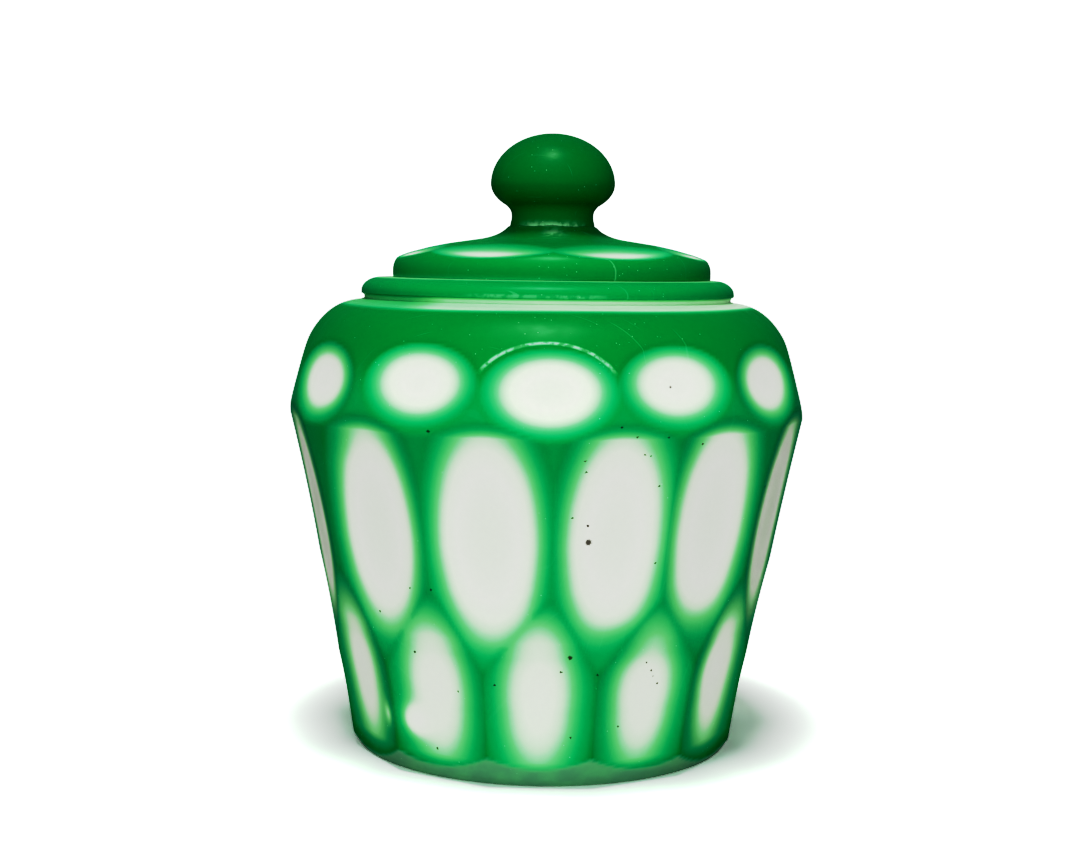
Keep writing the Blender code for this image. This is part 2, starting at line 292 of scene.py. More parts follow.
@dataclass(frozen=True)
class JarSizes:
    """The sizes of the jar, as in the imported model."""

    foot_radius: float = 0.0453
    widest_radius: float = 0.0603
    widest_height: float = 0.0776
    shoulder_rise: float = 0.0265
    shoulder_fullness_low: float = 0.34
    shoulder_fullness_high: float = 0.74
    shoulder_lean_in: float = 0.03
    shoulder_droop: float = 0.03
    groove_height: float = 0.0016
    groove_depth: float = 0.0007
    groove_slant: float = 0.22
    collar_radius: float = 0.0437
    collar_height: float = 0.0037
    collar_round_width: float = 0.0046
    collar_wall_share: float = 0.15
    wall: float = 0.0055
    floor_thickness: float = 0.0080
    floor_round: float = 0.0060
    mouth_radius: float = 0.0345
    throat_depth: float = 0.0080
    inside_shoulder_pull: float = 0.40
    cuts_in_row: int = 12
    bevel_side_radius: float = 0.0443
    bevel_front_radius: float = 0.0419
    bevel_slope: float = 0.65
    bevel_corner: float = 0.00022

    @property
    def shoulder_top(self) -> float:
        """Give the height where the shoulder ends."""
        return self.widest_height + self.shoulder_rise

    @property
    def groove_top(self) -> float:
        """Give the height where the groove ends."""
        return self.shoulder_top + self.groove_height

    @property
    def seat_height(self) -> float:
        """Give the height of the collar's top."""
        return self.groove_top + self.collar_height

    def shoulder_points(self, count: int = 80) -> Line:
        """Give the shoulder from the widest ring up.

        Args:
            count: How many points.

        Returns:
            The points as (radius, height).
        """
        end_radius = self.collar_radius + self.groove_depth
        reach = self.widest_radius - end_radius
        low_height = self.widest_height + self.shoulder_fullness_low * self.shoulder_rise
        high_height = self.shoulder_top - self.shoulder_droop * self.shoulder_rise
        corners = (
            (self.widest_radius, self.widest_height),
            (self.widest_radius - self.shoulder_lean_in * reach, low_height),
            (end_radius + self.shoulder_fullness_high * reach, high_height),
            (end_radius, self.shoulder_top),
        )
        return [corners[0]] + curve_points(corners, count)

    def blank_radius(self, height: np.ndarray) -> np.ndarray:
        """Give the radius of the uncut jar at heights under the groove."""
        points = np.array([(self.foot_radius, 0.0)] + self.shoulder_points())
        return np.interp(height, points[:, 1], points[:, 0])

    def blank_tilt(self, height: np.ndarray) -> np.ndarray:
        """Give the angle in radians by which the uncut jar leans outward, going up."""
        rise = self.blank_radius(height + MM) - self.blank_radius(height - MM)
        return np.arctan2(rise, 2.0 * MM)

    def bevel_radius(self, azimuth: np.ndarray, height: np.ndarray) -> np.ndarray:
        """Give the radius of the bevel round the foot, deeper at the front and back.

        Args:
            azimuth: Angles round the jar.
            height: Heights on the jar.

        Returns:
            The radii.
        """
        side = self.bevel_side_radius + self.bevel_slope * height
        front = side * self.bevel_front_radius / self.bevel_side_radius
        return 1.0 / np.hypot(np.cos(azimuth) / front, np.sin(azimuth) / side)


@dataclass(frozen=True)
class GreenDepths:
    """The green glass over the white before cutting, in millimetres.

    A level is a height on the jar and the depth there. A patch is a place where the cover is thicker or
    thinner, by its angle from the front in degrees, its height in millimetres, half its angle, half its
    height and how much thicker it is.
    """

    levels: tuple = (
        (0.0, 3.60), (2.0, 3.00), (4.0, 2.40), (5.6, 1.95), (17.6, 1.92),
        (30.0, 1.65), (33.5, 1.46), (45.0, 1.25), (54.6, 1.20), (70.0, 1.20),
        (78.0, 1.24), (86.0, 1.20), (93.5, 1.14), (104.0, 1.15), (110.0, 1.20),
    )
    bevel: float = 0.36
    # Extra depth along the ridges where cuts meet, as painted shade: a darker line standing in for the
    # shading there.
    ridge: float = 0.12
    ridge_shade_width: float = 0.24
    fired: float = 0.55
    patches: tuple = (
        (28.0, 55.0, 24.0, 15.0, 0.15),
        (-55.0, 66.0, 14.0, 12.0, 0.16),
        (-50.0, 75.0, 9.0, 5.0, 0.18),
        (41.0, 33.0, 9.0, 6.0, 0.24),
        (19.0, 33.0, 9.0, 4.5, 0.34),
        (50.0, 26.0, 8.0, 12.0, -0.20),
        (-1.0, 38.0, 6.0, 5.0, -0.10),
        (-37.8, 12.8, 4.6, 3.6, -0.80),
        (-46.8, 12.7, 2.2, 3.0, -0.75),
    )
    cove: float = 0.14
    cove_height: float = 0.0010
    cove_wave: float = 0.35
    cove_missed: float = 0.40
    cove_missed_azimuth: float = -1.05
    collar: float = 1.35
    collar_edge: float = 0.75
    collar_inner_share: float = 0.4

    def before_cutting(self, height: np.ndarray) -> np.ndarray:
        """Give the depths in millimetres under the uncut skin at heights in metres."""
        return np.interp(height / MM, *zip(*self.levels))

    def uneven_cover(self, height: np.ndarray, azimuth: np.ndarray) -> np.ndarray:
        """Give how much thicker or thinner the cover is here and there round the jar.

        Args:
            height: Heights in metres.
            azimuth: Angles round the jar.

        Returns:
            The differences in millimetres.
        """
        total = np.zeros(len(height))
        for degrees, middle, half_angle, half_height, extra in self.patches:
            across = bell(turn_between(azimuth, math.radians(degrees)), math.radians(half_angle))
            total += extra * across * bell(height / MM - middle, half_height)
        return total


@dataclass
class JarSkin:
    """The jar: spun, cut by three rows of wheels, and hollow."""

    sizes: JarSizes = field(default_factory=JarSizes)
    depths: GreenDepths = field(default_factory=GreenDepths)
    steps: int = 480
    spacing: float = 0.00076
    inside_spacing: float = 0.0065
    sharp_degrees: float = 40.0
    wear_everywhere: float = 0.06
    # Painted sparkle joins the chips at the front cut's rim, the collar's foot and the shoulder.
    wear_and_sparkle_cut_rim: float = 0.8
    wear_and_sparkle_collar_foot: float = 0.75
    wear_and_sparkle_shoulder: float = 0.21
    glint_collar_foot: float = 0.55
    glint_seat_edge: float = 0.15
    shoulder_row: WheelRow = WheelRow(
        height=0.0881,
        depth=0.00165,
        wheel_radius=0.0700,
        offset=0.0,
        corner=0.00014,
        slips={0: 0.6, 1: -2.0, 2: -3.2, 3: -2.0, 4: -1.0, 9: 1.0, 10: 2.1, 11: 2.4},
        drops={0: 0.0007, 1: -0.0006, 10: 0.0009, 11: -0.0004},
        front_extra_depth=0.00015,
    )
    side_row: WheelRow = WheelRow(
        height=0.0546,
        depth=0.00195,
        wheel_radius=0.3000,
        offset=0.5,
        corner=0.00030,
        slips={0: 0.6, 1: -4.8, 2: -5.0, 3: -3.5, 4: -2.0, 5: -0.5, 9: 0.5, 10: 3.7, 11: 2.5},
        drops={0: -0.0010, 1: -0.0028, 2: -0.0015, 10: -0.0014, 11: -0.0006},
    )
    foot_row: WheelRow = WheelRow(
        height=0.0176,
        depth=0.00205,
        wheel_radius=0.1900,
        offset=0.0,
        corner=0.00016,
        slips={0: -1.0, 1: -2.5, 2: -4.4, 3: -3.0, 4: -1.5, 9: 0.5, 10: 1.4, 11: 1.1},
    )

    def profile(self) -> Line:
        """Give the profile from the base's middle, over the rim, to the middle of the floor inside."""
        s = self.sizes
        base = [(share * s.foot_radius, 0.0) for share in (0.0, 0.3, 0.6, 0.85, 0.96, 0.99)]
        outside = even_points([(s.foot_radius, 0.0), (s.widest_radius, s.widest_height)], self.spacing)
        outside += even_points(s.shoulder_points(), self.spacing)[1:]
        groove_floor = s.collar_radius - s.groove_depth
        slant = s.groove_slant * s.groove_height
        wall_top = s.groove_top + s.collar_wall_share * s.collar_height
        collar_centre = (s.collar_radius - s.collar_round_width, wall_top)
        collar = [
            (groove_floor, s.shoulder_top + slant),
            (groove_floor, s.groove_top - slant),
            (s.collar_radius, s.groove_top),
            (s.collar_radius, wall_top),
        ]
        outside += even_points([outside[-1]] + collar, 0.0005)[1:]
        round_height = s.seat_height - wall_top
        outside += arc_points(collar_centre, s.collar_round_width, round_height, 0.0, 90.0, 11)
        return base + outside + self.inside_profile()

    def inside_profile(self) -> Line:
        """Give the inside from the seat down to the middle of the floor."""
        s = self.sizes
        throat = s.seat_height - s.throat_depth
        widest = (s.widest_radius - s.wall, s.widest_height)
        low_height = s.floor_thickness + s.floor_round
        low = (float(s.blank_radius(np.array([low_height]))[0]) - s.wall, low_height)
        pull = s.mouth_radius + s.inside_shoulder_pull * (widest[0] - s.mouth_radius)
        middle = 0.5 * (throat + s.widest_height)
        inside = [(s.mouth_radius, s.seat_height), (s.mouth_radius, throat)]
        inside += curve_points(((s.mouth_radius, throat), (pull, throat), (widest[0], middle), widest), 8)
        inside += even_points([widest, low], self.inside_spacing)[1:]
        round_centre = (low[0] - s.floor_round, low_height)
        inside += arc_points(round_centre, s.floor_round, s.floor_round, 0.0, -90.0, 4)
        return inside + [(0.0, s.floor_thickness)]

    def cut(self, mesh: bpy.types.Mesh) -> None:
        """Grind the rows of cuts and the bevel into the skin, and store the depth of green that is left,
        deepened along the ridges as painted shade.

        Args:
            mesh: The spun mesh.
        """
        s = self.sizes
        skin = SkinPoints(mesh)
        radius, height, azimuth = skin.radius, skin.height, skin.azimuth
        blank = s.blank_radius(height)
        outside = (height < s.shoulder_top - 1e-5) & (radius > blank - 0.5 * MM)
        base = (height < TINY) & ~outside
        ground = radius.copy()
        ridge = np.full(len(radius), OUT_OF_REACH)
        for row in (self.shoulder_row, self.side_row, self.foot_row):
            for index in range(s.cuts_in_row):
                surface = row.cut_radius(index, s.cuts_in_row, azimuth, height, s)
                kept_ridge = np.where(surface < ground, OUT_OF_REACH, ridge)
                ridge = np.minimum(np.abs(surface - ground), kept_ridge)
                ground = np.where(outside, soft_min(ground, surface, row.corner), ground)
        unbevelled = ground.copy()
        bevel = s.bevel_radius(azimuth, height)
        ground = np.where(outside, soft_min(ground, bevel, s.bevel_corner), ground)
        ground = np.where(base, radius * bevel / s.foot_radius, ground)
        depth = self.green_depth(skin, ground, blank)
        # Painted shade: a darker green line along the ridges where cuts meet.
        ridge_shade_line = bell(ridge, self.depths.ridge_shade_width * MM)
        depth = depth + self.depths.ridge * ridge_shade_line * (outside & (depth > 0.5))
        bevelled = smooth_step(unbevelled - bevel, -0.25 * MM, 0.25 * MM)
        depth = np.where(outside, depth + (self.depths.bevel - depth) * bevelled, depth)
        scale = np.where(radius > TINY, ground / np.maximum(radius, TINY), 1.0)
        skin.places[:, :2] *= scale[:, None]
        # Marks for the colour: chips with painted sparkle, painted glints and the bevel's paler tint.
        wear_and_sparkle = np.where(radius > 0.6 * s.mouth_radius, self.wear_and_sparkle(skin), 0.0)
        glint = np.where(radius > s.mouth_radius + MM, self.glint(skin), 0.0)
        bevel_tint = np.where(outside, bevelled, 0.0)
        skin.store({DEPTH_NAME: depth, WEAR_AND_SPARKLE_NAME: wear_and_sparkle, GLINT_NAME: glint, BEVEL_TINT_NAME: bevel_tint})

    def glint(self, skin: SkinPoints) -> np.ndarray:
        """Mark the polished edges that catch the light.

        Args:
            skin: The skin's points.

        Returns:
            The marks, from 0 to 1.
        """
        s = self.sizes
        radius, height, azimuth = skin.radius, skin.height, skin.azimuth
        collar_foot = bell(height - s.groove_top - 0.35 * MM, 0.30 * MM)
        near_front = facing(azimuth, -0.05, 0.42, 0.22)
        edge_radius = s.collar_radius - 0.72 * s.collar_round_width
        seat_edge = bell(radius - edge_radius, 0.5 * MM) * facing(azimuth, -0.1, 0.95, 0.6)
        seat_edge *= height > s.groove_top + 2.0 * MM
        collar_foot *= self.glint_collar_foot * near_front
        return np.clip(collar_foot + self.glint_seat_edge * seat_edge, 0.0, 1.0)

    def wear_and_sparkle(self, skin: SkinPoints) -> np.ndarray:
        """Work out how much the skin is worn and nicked, with painted sparkle.

        Args:
            skin: The skin's points.

        Returns:
            How worn each point is, with its painted sparkle, from 0 to 1.
        """
        s = self.sizes
        height, azimuth = skin.height, skin.azimuth
        # The front cut's rim, the collar's foot and the shoulder's front carry painted sparkle: pale specks
        # standing for light caught there, over real chips.
        front = self.shoulder_row.cut_radius(0, s.cuts_in_row, azimuth, height, s)
        rim_of_cut = np.exp(-np.abs(front - s.blank_radius(height)) / (0.16 * MM)) * (height > 0.089)
        collar_foot = np.exp(-np.abs(height - s.groove_top - 0.5 * MM) / (0.4 * MM))
        collar_foot *= facing(azimuth, -0.05, 0.55, 0.25)
        shoulder = smooth_step(height, 0.088, 0.096) * facing(azimuth, 0.0, 0.9, 0.3)
        total = self.wear_everywhere + self.wear_and_sparkle_cut_rim * rim_of_cut
        total += self.wear_and_sparkle_collar_foot * collar_foot + self.wear_and_sparkle_shoulder * shoulder
        return np.clip(total, 0.0, 1.0)

    def green_depth(self, skin: SkinPoints, ground: np.ndarray, blank: np.ndarray) -> np.ndarray:
        """Work out how much green glass is left over the white.

        Args:
            skin: The skin's points.
            ground: Each point's radius after cutting.
            blank: The uncut radius at its height.

        Returns:
            The depths in millimetres.
        """
        s = self.sizes
        radius, height, azimuth = skin.radius, skin.height, skin.azimuth
        tilt = s.blank_tilt(height)
        taken = (blank - ground) * np.cos(tilt) / MM
        side = self.depths.before_cutting(height) + self.depths.uneven_cover(height, azimuth) - taken
        uncut = 1.0 - smooth_step(taken, 0.02, 0.30)
        side += self.depths.fired * uncut * smooth_step(height, 0.084, 0.095)
        wave = 0.35 * np.sin(azimuth * 2.0 - 0.6) + 0.25 * np.sin(azimuth * 5.0 + 1.3)
        cove_low = s.shoulder_top - self.depths.cove_height + self.depths.cove_wave * MM * wave
        rise = smooth_step(height - cove_low, -0.45 * MM, 0.35 * MM)
        fall = smooth_step(height, s.groove_top - 0.40 * MM, s.groove_top + 0.10 * MM)
        missed = facing(azimuth, self.depths.cove_missed_azimuth, 0.55, 0.25)
        band = self.depths.cove * (1.0 - 0.5 * wave) + self.depths.cove_missed * missed
        edge_radius = s.collar_radius - 0.75 * s.collar_round_width
        edge = smooth_step(edge_radius - radius, -0.7 * MM, 0.7 * MM)
        collar = self.depths.collar + (self.depths.collar_edge - self.depths.collar) * edge
        upper = band + (collar - band) * fall
        depth = side + (upper - side) * rise
        inner = (height > s.groove_top) & (radius < s.collar_radius - 0.7 * s.collar_round_width)
        hollow = radius < blank - 3.0 * MM
        under = height < TINY
        depth = np.where(inner, self.depths.collar_inner_share * depth, depth)
        depth = np.where(hollow & (height < s.seat_height - MM), 0.0, depth)
        return np.where(under, np.clip((radius / s.foot_radius - 0.8) * 3.0, 0.0, 0.6), depth)

    def build(self, material: bpy.types.Material) -> bpy.types.Object:
        """Build the jar and let it stand for its node.

        Args:
            material: The overlay glass.

        Returns:
            The piece.
        """
        mesh = spun_mesh("jar_skin", self.profile(), self.steps)
        self.cut(mesh)
        piece = finished_piece("jar_skin", mesh, material, self.sharp_degrees)
        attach(piece, Body.ROOT.value)
        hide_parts("jar")
        return piece


@dataclass(frozen=True)
class LidSizes:
    """The sizes of the lid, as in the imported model, heights above the rim's underside."""

    base_height: float = 0.1097
    side_play: float = 0.0009
    rim_radius: float = 0.0373
    rim_straight: float = 0.0015
    rim_round_width: float = 0.0060
    rim_round_height: float = 0.0051
    rim_round_degrees: float = 75.0
    dome_slope: float = 0.15
    neck_radius: float = 0.00957
    neck_height: float = 0.0140
    neck_fillet: float = 0.0012
    flare_width: float = 0.0075
    flare_drop: float = 0.0024
    flare_spread: float = 0.35
    knob_radius: float = 0.01455
    knob_middle_height: float = 0.0217
    knob_top_half: float = 0.01175
    knob_lower_half: float = 0.0075
    knob_undercut_degrees: float = 42.0
    cuts: int = 7
    cut_slope: float = 0.29
    cut_edge_height: float = 0.0039
    mouth_radius: float = 0.0345
    locating_gap: float = 0.0014
    locating_depth: float = 0.0050
    locating_wall: float = 0.0030
    thickness: float = 0.0040

    def dome_height(self, radius: np.ndarray) -> np.ndarray:
        """Give the height of the uncut dome.

        Args:
            radius: Radii on the lid.

        Returns:
            The heights above the rim's underside.
        """
        edge = math.radians(self.rim_round_degrees)
        edge_radius = self.rim_radius - self.rim_round_width * (1.0 - math.cos(edge))
        edge_height = self.rim_straight + self.rim_round_height * math.sin(edge)
        return edge_height + self.dome_slope * (edge_radius - radius)


@dataclass
class LidSkin:
    """The lid: spun, with flat cuts on its dome, and hollow under it."""

    sizes: LidSizes = field(default_factory=LidSizes)
    steps: int = 480
    spacing: float = 0.00058
    corner: float = 0.00012
    cover_depth: float = 1.24
    fired_depth: float = 0.30
    knob_depth: float = 2.4
    # How far painted light thins the green on the rim's foot.
    crevice_lift_depth: float = 0.95
    foot_drop: float = 0.00026
    foot_chamfer: float = 0.00010
    sharp_degrees: float = 50.0
    wear_everywhere: float = 0.10
    # Painted sparkle joins the chips at the neck's foot, the rim and the knob.
    wear_and_sparkle_neck_ring: float = 0.8
    wear_and_sparkle_rim: float = 0.5
    wear_and_sparkle_knob: float = 0.25
    glint_neck_ring: float = 0.75
    glint_spot: float = 0.45

    def outside_profile(self) -> Line:
        """Give the outside from the knob's top down to the rim's foot, over the rim's underside."""
        s = self.sizes
        knob = (0.0, s.knob_middle_height)
        line = [(0.0, s.knob_middle_height + s.knob_top_half)]
        line += arc_points(knob, s.knob_radius, s.knob_top_half, 90.0, 0.0, 48)
        line += arc_points(knob, s.knob_radius, s.knob_lower_half, 0.0, -s.knob_undercut_degrees, 18)
        under = line[-1]
        neck = (s.neck_radius, s.neck_height)
        low = (s.neck_radius + 0.2 * s.neck_fillet, under[1] - 0.75 * s.neck_fillet)
        line += curve_points((under, low, (s.neck_radius, s.neck_height + s.neck_fillet), neck), 14)
        flare_end = (s.neck_radius + s.flare_width, float(s.dome_height(s.neck_radius + s.flare_width)))
        foot = (s.neck_radius + s.flare_spread * s.flare_width, 0.0)
        foot = (foot[0], float(s.dome_height(foot[0])))
        line += curve_points((neck, (s.neck_radius, s.neck_height - s.flare_drop), foot, flare_end), 18)
        centre = (s.rim_radius - s.rim_round_width, s.rim_straight)
        rim = [(s.rim_radius, s.rim_straight)]
        rim += arc_points(centre, s.rim_round_width, s.rim_round_height, 0.0, s.rim_round_degrees, 24)
        line += rim[::-1] + [(s.rim_radius, self.foot_chamfer - self.foot_drop)]
        line += [(s.rim_radius - self.foot_chamfer, -self.foot_drop)]
        return even_points(line, self.spacing)

    def under_profile(self) -> Line:
        """Give the locating ring and the ceiling under the lid, over the rim's underside."""
        s = self.sizes
        ring_outer = s.mouth_radius - s.locating_gap
        ring_inner = ring_outer - s.locating_wall
        ceiling = float(s.dome_height(ring_inner)) - s.thickness
        ring = [(ring_outer, 0.0), (ring_outer, -s.locating_depth), (ring_inner, -s.locating_depth)]
        corners = (
            ring[-1],
            (ring_inner, 0.4 * ceiling),
            (0.95 * ring_inner, ceiling),
            (0.5 * ring_inner, ceiling + 0.5 * MM),
        )
        return ring + curve_points(corners, 8) + [(0.0, ceiling + MM)]

    def cut(self, mesh: bpy.types.Mesh) -> None:
        """Grind the flats into the dome and store the depth of green that is left, thinned at the rim's
        foot as painted light.

        Args:
            mesh: The spun mesh, its heights above the rim's underside.
        """
        s = self.sizes
        skin = SkinPoints(mesh)
        radius, height, azimuth = skin.radius, skin.height, skin.azimuth
        upper = (height > s.rim_straight) & (radius > s.neck_radius) & (height < s.neck_height - 1.5 * MM)
        ground = height.copy()
        for index in range(s.cuts):
            turn = turn_between(azimuth, 2.0 * math.pi * (index + 0.5) / s.cuts)
            flat = s.cut_edge_height + s.cut_slope * (s.rim_radius - radius * np.cos(turn))
            ground = np.where(upper, soft_min(ground, flat, self.corner), ground)
        taken = (height - ground) / MM
        depth = self.cover_depth + self.fired_depth * (1.0 - smooth_step(taken, 0.02, 0.30)) - taken
        neck = smooth_step(s.neck_radius + s.flare_width - radius, 0.0, 0.6 * s.flare_width)
        high = smooth_step(height, s.neck_height - 4.0 * MM, s.neck_height)
        depth = depth + (self.knob_depth - depth) * np.maximum(neck * (height > 0.004), high)
        # Painted light: a lighter green band on the rim's foot, left and front, lifting the shade of the
        # crevice where the lid sits on the collar.
        crevice_lift = bell(height + 0.1 * MM, 0.30 * MM) * smooth_step(0.25 - azimuth, 0.0, 0.35)
        rim_wall = s.rim_radius - 0.2 * MM
        depth = depth - self.crevice_lift_depth * crevice_lift * (radius > rim_wall)
        within_ring = radius < s.mouth_radius - s.locating_gap + 0.1 * MM
        hollow = within_ring & (height < s.dome_height(radius) - 2.0 * MM)
        depth = np.where(((height < 0.0001) & (radius < rim_wall)) | hollow, 0.0, depth)
        skin.places[:, 2] = ground + s.base_height
        skin.places[:, 0] += s.side_play
        wear_and_sparkle, glint, bevel_tint = self.wear_and_sparkle(skin), self.glint(skin), np.zeros(len(depth))
        skin.store({DEPTH_NAME: depth, WEAR_AND_SPARKLE_NAME: wear_and_sparkle, GLINT_NAME: glint, BEVEL_TINT_NAME: bevel_tint})

    def glint(self, skin: SkinPoints) -> np.ndarray:
        """Mark the painted highlights: the rough ring at the neck's foot and a spot below it, where light
        catches the lid.

        Args:
            skin: The skin's points.

        Returns:
            The marks, from 0 to 1.
        """
        s = self.sizes
        radius, height, azimuth = skin.radius, skin.height, skin.azimuth
        ring = bell(height - s.neck_height + 1.6 * MM, 0.40 * MM) * facing(azimuth, 0.0, 1.0, 0.4)
        ring *= radius < s.neck_radius + 2.0 * MM
        highlight_spot = bell(height - s.neck_height + 3.8 * MM, 1.0 * MM) * bell(azimuth - 0.02, 0.18)
        highlight_spot *= radius < s.neck_radius + s.flare_width
        return np.clip(self.glint_neck_ring * ring + self.glint_spot * highlight_spot, 0.0, 1.0)

    def wear_and_sparkle(self, skin: SkinPoints) -> np.ndarray:
        """Work out how much the skin is worn and nicked, with painted sparkle.

        Args:
            skin: The skin's points.

        Returns:
            How worn each point is, with its painted sparkle, from 0 to 1.
        """
        s = self.sizes
        radius, height, azimuth = skin.radius, skin.height, skin.azimuth
        # The neck's foot, the rim's right side and the knob's front carry painted sparkle: pale specks
        # standing for light caught there, over real chips.
        ring_radius = s.neck_radius + 0.30 * s.flare_width
        ring = bell(radius - ring_radius, 1.1 * MM) * (height < s.neck_height)
        rim = smooth_step(radius, 0.80 * s.rim_radius, 0.92 * s.rim_radius)
        right = facing(azimuth, 0.35, 0.9, 0.3)
        knob = (height > s.neck_height) * facing(azimuth, 0.1, 0.9, 0.3)
        total = self.wear_everywhere + self.wear_and_sparkle_neck_ring * ring
        total += self.wear_and_sparkle_rim * rim * right + self.wear_and_sparkle_knob * knob
        return np.clip(total, 0.0, 1.0)

    def build(self, material: bpy.types.Material) -> bpy.types.Object:
        """Build the lid where it rests and let it stand for its node.

        Args:
            material: The overlay glass of the lid.

        Returns:
            The piece.
        """
        mesh = spun_mesh("lid_skin", self.outside_profile() + self.under_profile(), self.steps)
        self.cut(mesh)
        piece = finished_piece("lid_skin", mesh, material, self.sharp_degrees)
        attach(piece, Body.ROOT.value)
        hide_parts("lid")
        return piece


class NodeBuilder:
    """A helper that adds and joins shader nodes."""

    def __init__(self, tree: bpy.types.NodeTree) -> None:
        """Keep the tree to work on."""
        self.tree = tree

    def add(self, kind: str, settings: dict | None = None, inputs: dict | None = None) -> bpy.types.Node:
        """Add a node.

        Args:
            kind: The node's type name.
            settings: Its properties.
            inputs: Socket name or number, and a number or a socket to join.

        Returns:
            The node.
        """
        node = self.tree.nodes.new(kind)
        for name, value in (settings or {}).items():
            setattr(node, name, value)
        for name, value in (inputs or {}).items():
            if isinstance(value, bpy.types.NodeSocket):
                self.tree.links.new(value, node.inputs[name])
            else:
                node.inputs[name].default_value = value
        return node

    def math(
        self, operation: str, first: object, second: object = 0.0, clamp: bool = False
    ) -> bpy.types.NodeSocket:
        """Add a math node on two numbers or sockets, and give its result."""
        settings = {"operation": operation, "use_clamp": clamp}
        return self.add("ShaderNodeMath", settings, {0: first, 1: second}).outputs[0]

    def mix_colour(self, kind: str, share: object, first: object, second: object) -> bpy.types.NodeSocket:
        """Mix two colours.

        Args:
            kind: The blend type.
            share: How much of the second.
            first: The first colour or socket.
            second: The second colour or socket.

        Returns:
            The result's socket.
        """
        node = self.add("ShaderNodeMix", {"data_type": "RGBA", "blend_type": kind})
        for socket, value in ((node.inputs[0], share), (node.inputs[6], first), (node.inputs[7], second)):
            if isinstance(value, bpy.types.NodeSocket):
                self.tree.links.new(value, socket)
            else:
                socket.default_value = value
        return node.outputs[2]

    def map_range(
        self, value: bpy.types.NodeSocket, low: float, high: float, out_low: float, out_high: float
    ) -> bpy.types.NodeSocket:
        """Map low to out_low and high to out_high, smoothly between them and level beyond."""
        names = ("Value", "From Min", "From Max", "To Min", "To Max")
        inputs = dict(zip(names, (value, low, high, out_low, out_high)))
        return self.add("ShaderNodeMapRange", {"interpolation_type": "SMOOTHSTEP"}, inputs).outputs[0]

    def place(self) -> bpy.types.NodeSocket:
        """Give the place on the piece."""
        return self.add("ShaderNodeTexCoord").outputs["Object"]

    def vector(self, operation: str, *values: object) -> bpy.types.Node:
        """Add a vector math node on vectors or sockets."""
        return self.add("ShaderNodeVectorMath", {"operation": operation}, dict(enumerate(values)))

    def noise(self, place: bpy.types.NodeSocket, scale: float, detail: float) -> bpy.types.Node:
        """Add a noise of a scale and detail at a place on the piece."""
        return self.add("ShaderNodeTexNoise", {}, {"Vector": place, "Scale": scale, "Detail": detail})

    def attribute(self, name: str) -> bpy.types.NodeSocket:
        """Read a number that is kept on the skin's points."""
        return self.add("ShaderNodeAttribute", {"attribute_name": name}).outputs["Fac"]

    def group(self, tree: bpy.types.NodeTree, inputs: dict | None = None) -> bpy.types.NodeOutputs:
        """Add a node group and give its outputs."""
        return self.add("ShaderNodeGroup", {"node_tree": tree}, inputs).outputs

    def turn_and_parts(self, place: bpy.types.NodeSocket) -> tuple:
        """Give a place's turn from the front, in radians to the right, and its three parts."""
        parts = self.add("ShaderNodeSeparateXYZ", {}, {"Vector": place}).outputs
        return self.math("ARCTAN2", parts["X"], self.math("MULTIPLY", parts["Y"], -1.0)), parts


def new_group(name: str, inputs: dict, output: str, kind: str = "NodeSocketFloat") -> tuple:
    """Make a shader node group with named sockets.

    Args:
        name: The group's name.
        inputs: Each input number's default, by its name.
        output: The output's name.
        kind: The output's type.

    Returns:
        The tree, its builder, its input node and its output node.
    """
    tree = bpy.data.node_groups.new(name, "ShaderNodeTree")
    for socket_name, value in inputs.items():
        socket = tree.interface.new_socket(socket_name, in_out="INPUT", socket_type="NodeSocketFloat")
        socket.default_value = value
    tree.interface.new_socket(output, in_out="OUTPUT", socket_type=kind)
    nodes = NodeBuilder(tree)
    return tree, nodes, tree.nodes.new("NodeGroupInput"), tree.nodes.new("NodeGroupOutput")


@dataclass(frozen=True)
class CasedColour:
    """How the colour of the overlay deepens with the depth of green glass over the white."""

    deepest: float = 2.6
    stops: tuple = (
        (-1.00, (0.665, 0.742, 0.622)),
        (-0.35, (0.752, 0.776, 0.710)),
        (-0.05, (0.710, 0.775, 0.660)),
        (0.08, (0.555, 0.725, 0.535)),
        (0.19, (0.384, 0.665, 0.410)),
        (0.35, (0.235, 0.540, 0.280)),
        (0.54, (0.115, 0.452, 0.225)),
        (0.74, (0.040, 0.390, 0.198)),
        (0.92, (0.010, 0.350, 0.172)),
        (1.15, (0.003, 0.322, 0.150)),
        (1.60, (0.001, 0.264, 0.088)),
        (2.30, (0.001, 0.208, 0.066)),
    )

    def build_group(self) -> bpy.types.NodeTree:
        """Make the node group that turns a depth into a colour."""
        inputs = {"Depth": 1.0, "Unevenness": 0.05}
        tree, nodes, start, end = new_group("cased_colour", inputs, "Color", "NodeSocketColor")
        place = nodes.place()
        broad = nodes.noise(place, 70.0, 2.0).outputs["Fac"]
        shift = nodes.math("MULTIPLY", nodes.math("SUBTRACT", broad, 0.5), start.outputs["Unevenness"])
        depth = nodes.math("ADD", start.outputs["Depth"], shift)
        low = self.stops[0][0]
        span = self.deepest - low
        share = nodes.math("DIVIDE", nodes.math("SUBTRACT", depth, low), span, clamp=True)
        ramp = nodes.add("ShaderNodeValToRGB", {}, {"Fac": share})
        elements = ramp.color_ramp.elements
        while len(elements) < len(self.stops):
            elements.new(0.5)
        for element, (stop, colour) in zip(elements, self.stops):
            element.position = (stop - low) / span
            element.color = (*colour, 1.0)
        light = nodes.map_range(nodes.noise(place, 900.0, 1.0).outputs["Fac"], 0.3, 0.7, 0.993, 1.007)
        grain = nodes.add("ShaderNodeCombineColor", {}, {0: light, 1: light, 2: light}).outputs[0]
        colour = nodes.mix_colour("MULTIPLY", 1.0, ramp.outputs["Color"], grain)
        tree.links.new(colour, end.inputs["Color"])
        return tree


